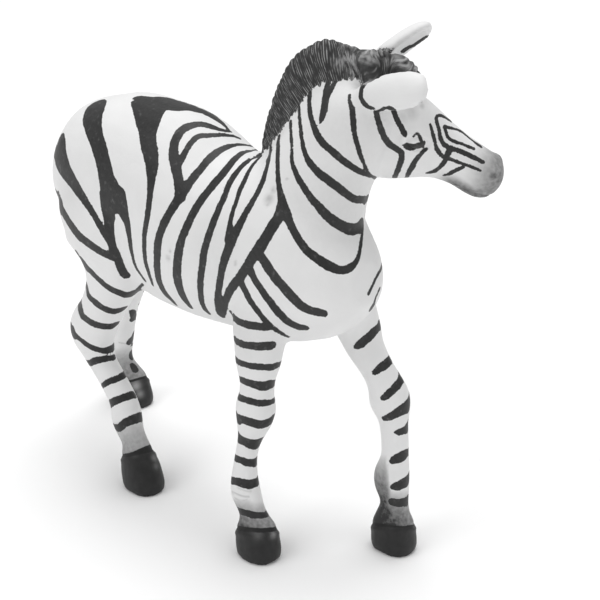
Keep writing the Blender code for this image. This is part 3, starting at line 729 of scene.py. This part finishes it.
# Between the ears the hair falls in loose curls with hollows between them.
curled = smooth_share(head_from - 2.0, head_from + 3.0, along) * smooth_share(0.3, -0.4, mane_gap)
hollow = curled * (0.5 + 0.5 * np.sin(1.55 * along_swayed + 1.3 * np.sin(4.0 * up))
                   * np.sin(6.2 * up + 0.6 * along_swayed))
deep -= HOLLOW_DEPTH * hollow
points = points + normals * deep[:, None]

# Face
# Eyes, nostrils and a closed mouth are part of the moulding, the same on both sides of the head. They are finer
# than the solid, so they are raised and sunk here, in the head's own places a, b and c.
EYE = (14.4, 5.6, -4.6)
NOSTRIL = (32.3, 2.9, -5.9)
a, b, c = head_places(points)
side = np.abs(b)
face_on = (a > 4) & (a < 36) & (side < 10) & (c > -17)


def dent(centre, radii, depth):
    """A soft round hollow, or a bump where depth is below nothing, on both sides of the head."""
    far = sum(((place - middle) / radius) ** 2 for place, middle, radius in zip((a, side, c), centre, radii))
    return np.where(face_on & (far < 6), depth * np.exp(-1.4 * far), 0.0)


lift = np.zeros(len(points))
lift += dent(EYE, (1.5, 2.0, 1.0), 0.34)
ring = np.hypot((a - EYE[0]) / 1.95, (c - EYE[2]) / 1.35)
lift -= np.where(face_on & (side > 3.2), 0.30 * np.exp(-((ring - 1.12) / 0.2) ** 2), 0.0)
lift += np.where(face_on & (side > 3.2), 0.16 * np.exp(-((ring - 1.5) / 0.26) ** 2), 0.0)
lift -= dent(NOSTRIL, (1.25, 1.5, 0.8), 0.55)
lift += dent((32.1, 2.9, -4.4), (1.6, 1.5, 0.6), 0.18)
lip = -11.3 + 0.16 * (a - 27.5)
mouth_on = smooth_share(25.5, 27.6, a) * smooth_share(38.0, 34.0, a)
lift -= np.where(face_on, 0.34 * np.exp(-((c - lip) / 0.33) ** 2) * mouth_on, 0.0)
points = points + normals * lift[:, None]

# Hooves, soot and painted shade
# The moulded hooves are dipped dark up to a coronet that is higher at the toe. Pasterns, fetlocks and muzzle
# are dusted grey, darker towards the hoof and the nose, and handling has left a few small smudges on the coat.
# Painted shade darkens fine folds, the hollows of the curls, the root of the mane behind the near ear and broad
# patches of the coat, and painted highlights lighten the tips of the curls and the hooves.
NO_HOOF = 3.0
SOFT_SPOT_PER_PIXEL = 0.2
heights = points[:, 2]
hoof_gap = np.full(len(points), NO_HOOF)
coronet_gap = np.full(len(points), NO_HOOF)
soot_and_shade = np.zeros(len(points))
# For each leg: the middle of its sole, its coronet in the picture and that line's tilt, the dust's top, lean,
# strength and shade, and the coronet's dark rim at the heel and at the toe.
for leg, sole, (x, y), tilt, top, lean, strength, shade, band_low, band_high in (
    ("front right", (23.3, -13.1), (256, 532.5), 0.0, 6.2, 0.7, 0.83, 0.16, 1.0, 0.9),
    ("front left", (42.0, 8.8), (392, 527.5), 0.0, 8.0, 7.6, 0.97, 0.22, 0.7, 0.3),
    ("hind right", (-14.9, -11.5), (141, 454.5), 0.2, 8.0, 0.4, 0.58, 0.10, 0.8, 1.7),
    ("hind left", (-47.8, 14.4), (139, 380), 0.25, 9.0, 0.0, 0.75, 0.10, 0.6, 0.6),
):
    near = (np.hypot(points[:, 0] - sole[0], points[:, 1] - sole[1]) < 11.0) & (heights < 24)
    plumb = np.array((lens_up - tilt * lens_right).normalized())
    rise = (points - np.array(touch(x, y))) @ plumb
    left = -((points[:, :2] - np.array(sole)) @ np.array(lens_right)[:2]) / 4.0
    hoof_gap = np.where(near, np.minimum(hoof_gap, rise), hoof_gap)
    coronet = rise - band_high - (band_low - band_high) * smooth_share(-0.5, 1.0, left)
    coronet_gap = np.where(near, np.minimum(coronet_gap, coronet), coronet_gap)
    dust = smooth_share(top + lean * smooth_share(0.2, 0.6, left), 0.0, rise) ** 0.35
    soot_and_shade = np.where(near, np.maximum(soot_and_shade, (strength + shade * np.clip(left, -1, 1)) * dust), soot_and_shade)
    ledge = 0.22 * np.exp(-((rise + 0.6) / 0.55) ** 2) - 0.20 * np.exp(-((rise - 0.35) / 0.35) ** 2)
    turn = np.arctan2(points[:, 1] - sole[1], points[:, 0] - sole[0])
    wall = np.where(rise < -1.2, 0.03 * np.sin(26 * turn + 1.3 * np.sin(3 * turn)), 0.0)
    points = points + normals * np.where(near & (heights > 0.8), ledge + wall, 0.0)[:, None]

nose = smooth_share(25.0, 32.5, a + 0.10 * (c + 8)) * 0.74
nose = np.maximum(nose, smooth_share(20.5, 25.5, a) * smooth_share(-8.0, -10.8, c) * 0.85)
soot_and_shade = np.maximum(soot_and_shade, np.where(face_on & (a > 20), nose, 0.0))
soot_and_shade = np.maximum(soot_and_shade, np.clip(dent(NOSTRIL, (1.5, 1.7, 1.0), 1.0), 0, 0.95))
soot_and_shade = np.maximum(soot_and_shade, np.where(face_on, 0.9 * np.exp(-((c - lip) / 0.3) ** 2) * mouth_on, 0.0))
# Painted shade darkens the hollows between the curls, and painted highlights lighten their crests.
soot_and_shade = np.maximum(soot_and_shade, 0.85 * smooth_share(0.55, 0.9, hollow))
pale = 0.8 * curled * smooth_share(0.55, 0.2, hollow)


def soft_spot(middle, wide):
    """A soft round spot on the coat round this point, as a share; its width is in the picture's pixels."""
    off = np.linalg.norm(points - np.array(middle), axis=1) / (wide * SOFT_SPOT_PER_PIXEL)
    return np.exp(-off**2)


# Small dark smudges and specks from handling, and the dark grey of the muzzle and lower lip. The dark patches
# at the root of the mane behind the near ear are painted shadow. The broad faint patches, 25 to 50 pixels wide,
# on the neck, face, belly, barrel and rump are painted shade. The coat is also greyer under the near ear and on
# the hind left leg's inner side, and dusted at that leg's fetlock.
for x, y, wide, strength in (
    (269, 199, 5, 0.45), (273.5, 190, 3.5, 0.35), (267.5, 204, 2.5, 0.4), (168, 258, 3.2, 0.35),
    (170, 251, 2, 0.35), (235, 263, 1.6, 0.7), (286.5, 178.5, 1.1, 0.6), (421.7, 102.8, 1.8, 0.7),
    (224, 187, 1.2, 0.4), (404, 117, 7, 0.2), (398, 117, 5, 0.16), (389, 72, 7, 0.9), (380, 75, 7, 0.95),
    (370, 74, 7, 0.9), (364, 68, 5, 0.7), (395, 71.5, 4, 0.8), (494, 176.5, 9, 0.9), (498.5, 183, 9, 0.8),
    (501, 174, 7, 0.6), (489, 186, 7, 0.66), (480, 191.5, 8, 0.8), (470, 190.5, 8, 0.7), (461, 188, 6, 0.5),
    (338, 128, 50, 0.12), (332, 202, 50, 0.14), (432, 112, 30, 0.11), (240, 333, 30, 0.13), (70, 195, 30, 0.08),
    (250, 335, 25, 0.09), (213, 255, 40, 0.07), (499, 170, 6, 0.6), (492, 160, 5, 0.45), (412, 112, 9, 0.26),
    (422, 106, 4, 0.3), (128, 350, 9, 0.28), (133, 360, 7, 0.3), (136, 372, 6, 0.55), (141, 376, 5, 0.6),
):
    soot_and_shade = np.maximum(soot_and_shade, strength * soft_spot(touch(x, y), wide))
# Painted highlights on the tips of the curls, on both sides of the head.
for x, y, wide, strength in (
    (340, 62, 6, 0.5), (347, 59, 7, 0.6), (355, 69, 7, 0.5), (364, 50, 8, 0.9), (365, 62, 7, 0.8),
    (371, 49, 6, 0.9), (379, 56, 8, 0.8), (388, 60, 6, 0.5), (396, 52, 7, 0.7), (401, 66, 5, 0.7),
    (409, 67, 5, 0.6),
):
    middle = touch(x, y)
    for spot in (middle, other_side(middle, "head")):
        pale = np.maximum(pale, strength * soft_spot(spot, wide))
# Painted shadow darkens the hollow behind the near ear, at the root of the mane, and no highlight shows there.
for x, y, wide in ((366.5, 79, 5), (373, 76, 6), (381, 73, 6), (389, 70.5, 5)):
    dark = soft_spot(touch(x, y), wide)
    pale = pale * (1 - dark)
    soot_and_shade = np.maximum(soot_and_shade, 0.95 * dark)
# Painted highlights on the hooves.
for x, y, wide, strength in (
    (273, 534.5, 4, 0.5), (258, 535.2, 5, 0.16), (136, 386, 6, 0.75), (140, 394, 5, 0.5), (154, 458, 4, 0.35),
    (156, 466, 4, 0.2),
):
    pale = np.maximum(pale, strength * soft_spot(touch(x, y), wide))
# The folds get their painted shade.
for laid, strength in creases:
    crease = gap_to([laid], points, 2.0) + THINNEST
    soot_and_shade = np.maximum(soot_and_shade, strength * np.exp(-(np.clip(crease, 0, None) / 0.20) ** 2))

gap = gap_to(marks_laid, points, REACH)
points[:, 2] = np.maximum(points[:, 2], 0.0)
set_points(zebra, points)
for name, values in (
    ("stripe_gap", gap), ("mane_gap", mane_gap), ("hoof_gap", hoof_gap), ("soot_and_shade", soot_and_shade), ("strand", strand),
    ("hair_up", up), ("pale", pale), ("coronet_gap", coronet_gap),
):
    layer = zebra.data.attributes.new(name, "FLOAT", "POINT")
    layer.data.foreach_set("value", values.astype(np.float32))
bpy.ops.object.select_all(action="DESELECT")
zebra.select_set(True)
bpy.context.view_layer.objects.active = zebra
bpy.ops.object.shade_smooth()
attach(zebra, "root")
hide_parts("zebra_figurine")

# Painted vinyl
# Satin off-white vinyl, with charcoal paint brushed on by hand, a little uneven in depth and at its edges.
# Mane with its painted highlights, soot and painted shade, and hooves go on after the stripes. All is grey,
# because the picture shows no colour.
COAT_GREYS = (0.72, 0.80)
STRIPE_GREYS = (0.010, 0.034)
HAIR_GREYS = (0.010, 0.050)
BRUSHED_HAIR = 0.33
PALE_HAIR = 0.46
SOOT_AND_SHADE_GREY = 0.028
CORONET_GREY = 0.012
HOOF_GREYS = (0.009, 0.028)
HOOF_HIGHLIGHT_GREY = 0.45
COAT_ROUGHNESS = 0.55
PAINT_ROUGHNESS = 0.45
vinyl = bpy.data.materials.new("painted_vinyl")
vinyl.use_nodes = True
tree = vinyl.node_tree
paint = tree.nodes["Principled BSDF"]


def put(value, socket):
    """Links a socket to another, or sets its value."""
    if isinstance(value, bpy.types.NodeSocket):
        tree.links.new(value, socket)
    else:
        socket.default_value = value


def sums(operation, *values):
    """One step of reckoning with numbers or sockets."""
    node = tree.nodes.new("ShaderNodeMath")
    node.operation = operation
    for value, socket in zip(values, node.inputs):
        put(value, socket)
    return node.outputs[0]


def share_of(value, low, high, out_low=0.0, out_high=1.0):
    """The value's smooth share of the way from low to high."""
    node = tree.nodes.new("ShaderNodeMapRange")
    node.interpolation_type = "SMOOTHSTEP"
    for which, given in (("Value", value), ("From Min", low), ("From Max", high),
                         ("To Min", out_low), ("To Max", out_high)):
        put(given, node.inputs[which])
    return node.outputs["Result"]


def plain(level):
    """The grey of this level."""
    return (level, level, level, 1)


def grey(value, levels):
    """A grey between two levels."""
    return mix(value, plain(levels[0]), plain(levels[1]))


def mix(share, first, second):
    """The first colour where share is 0, and the second where it is 1."""
    node = tree.nodes.new("ShaderNodeMix")
    node.data_type = "RGBA"
    put(share, node.inputs[0])
    put(first, node.inputs[6])
    put(second, node.inputs[7])
    return node.outputs[2]


def field(name):
    """A number that the mesh carries at each point."""
    node = tree.nodes.new("ShaderNodeAttribute")
    node.attribute_name = name
    return node.outputs["Fac"]


place = tree.nodes.new("ShaderNodeTexCoord").outputs["Object"]


def grain(size, detail=2.0, where=None):
    """Noise whose lumps are this many millimetres across, or strands where a place along the hair is given."""
    node = tree.nodes.new("ShaderNodeTexNoise")
    put(where if where is not None else place, node.inputs["Vector"])
    put(PER_METRE / size if where is None else 1.0 / size, node.inputs["Scale"])
    put(detail, node.inputs["Detail"])
    return node.outputs["Fac"]


waver = sums("ADD", sums("MULTIPLY", sums("SUBTRACT", grain(1.5), 0.5), 0.40),
             sums("MULTIPLY", sums("SUBTRACT", grain(0.4), 0.5), 0.30))
stripe_gap = sums("ADD", field("stripe_gap"), waver)
stripe_share = share_of(stripe_gap, 0.16, 0.04)
thin_paint = share_of(grain(1.1, 4.0), 0.56, 0.80, 0.0, 0.07)
stripe_share = sums("MULTIPLY", stripe_share, sums("SUBTRACT", 1.0, thin_paint))
coat_grey = grey(grain(7.0, 3.0), COAT_GREYS)
stripe_grey = grey(grain(0.8, 3.0), STRIPE_GREYS)
skin_colour = mix(stripe_share, coat_grey, stripe_grey)

hair = tree.nodes.new("ShaderNodeCombineXYZ")
put(field("strand"), hair.inputs[0])
put(sums("MULTIPLY", field("hair_up"), 3.6), hair.inputs[1])
across_strand = sums("SUBTRACT", sums("MULTIPLY", sums("FRACT", field("strand")), 2.0), 1.0)
crest = sums("SUBTRACT", 1.0, sums("ABSOLUTE", across_strand))
streak = grain(0.85, 2.0, where=hair.outputs[0])
tuft = grain(2.2, 1.0)
caught = sums("ADD", streak, sums("MULTIPLY", sums("SUBTRACT", tuft, 0.5), 0.35))
brushed = sums("MULTIPLY", share_of(crest, 0.40, 1.0), share_of(caught, 0.40, 0.66))
flecks = sums("ADD", streak, sums("MULTIPLY", grain(1.2, 2.0), 0.8))
# The pale patches of the mane are painted highlights on the curls.
pale_share = sums("MULTIPLY", field("pale"), share_of(flecks, 0.60, 1.10))
mane_grey = mix(brushed, grey(streak, HAIR_GREYS), plain(BRUSHED_HAIR))
mane_grey = mix(pale_share, mane_grey, plain(PALE_HAIR))
mane_share = share_of(sums("ADD", field("mane_gap"), waver), 0.12, -0.12)
skin_colour = mix(mane_share, skin_colour, mane_grey)

# Soot, dust and painted shade, in one dark grey.
soot_and_shade_share = sums("MULTIPLY", field("soot_and_shade"), share_of(grain(0.9, 3.0), 0.25, 0.75, 0.85, 1.08))
skin_colour = mix(soot_and_shade_share, skin_colour, plain(SOOT_AND_SHADE_GREY))

edge = sums("MULTIPLY", waver, 0.6)
coronet_share = share_of(sums("ADD", field("coronet_gap"), edge), 0.10, -0.10)
skin_colour = mix(coronet_share, skin_colour, plain(CORONET_GREY))
hoof_share = share_of(sums("ADD", field("hoof_gap"), edge), 0.08, -0.08)
# The hooves' painted highlights are a lighter grey.
hoof_grey = mix(field("pale"), grey(grain(1.6, 4.0), HOOF_GREYS), plain(HOOF_HIGHLIGHT_GREY))
skin_colour = mix(hoof_share, skin_colour, hoof_grey)
put(skin_colour, paint.inputs["Base Color"])
painted = sums("MAXIMUM", stripe_share, hoof_share)
put(share_of(painted, 0.0, 1.0, COAT_ROUGHNESS, PAINT_ROUGHNESS), paint.inputs["Roughness"])
put(0.3, paint.inputs["Specular IOR Level"])
bump = tree.nodes.new("ShaderNodeBump")
put(0.35, bump.inputs["Strength"])
put(0.0002, bump.inputs["Distance"])
hair_height = sums("ADD", sums("MULTIPLY", crest, 1.2), sums("MULTIPLY", streak, 0.9))
rough = sums("ADD", sums("MULTIPLY", grain(0.9, 3.0), 0.7), sums("MULTIPLY", mane_share, hair_height))
put(rough, bump.inputs["Height"])
put(bump.outputs["Normal"], paint.inputs["Normal"])
zebra.data.materials.clear()
zebra.data.materials.append(vinyl)

# Floor and light
# A pale matt table under three large soft lamps, as in a product photograph with hardly any shadow. Each lamp
# has its place in metres, its power and its width, and is turned to the middle of the animal.
FLOOR_SIZE = 6.0
FLOOR_WHITE = 0.95
AIM = Vector((0, 0, 0.05))
bpy.ops.mesh.primitive_plane_add(size=FLOOR_SIZE, location=(0, 0, 0))
floor = bpy.context.active_object
floor.name = "floor"
floor_paint = bpy.data.materials.new("floor_paint")
floor_paint.use_nodes = True
floor_finish = floor_paint.node_tree.nodes["Principled BSDF"]
floor_finish.inputs["Base Color"].default_value = plain(FLOOR_WHITE)
floor_finish.inputs["Roughness"].default_value = 0.9
floor.data.materials.append(floor_paint)
bpy.context.scene.view_settings.view_transform = "Standard"
world = bpy.data.worlds.new("studio")
bpy.context.scene.world = world
world.use_nodes = True
world.node_tree.nodes["Background"].inputs["Color"].default_value = (1, 1, 1, 1)
world.node_tree.nodes["Background"].inputs["Strength"].default_value = 0.50
for name, spot, power, size in (
    ("key", (-0.40, -1.10, 1.20), 6.8, 1.0),
    ("fill", (1.20, 0.00, 0.90), 2.2, 1.0),
    ("top", (-0.20, 0.35, 1.70), 17.0, 1.2),
):
    lamp_data = bpy.data.lights.new(name, "AREA")
    lamp_data.energy = power
    lamp_data.size = size
    lamp = bpy.data.objects.new(name, lamp_data)
    bpy.context.scene.collection.objects.link(lamp)
    lamp.location = spot
    lamp.rotation_euler = (Vector(spot) - AIM).to_track_quat("Z", "Y").to_euler()
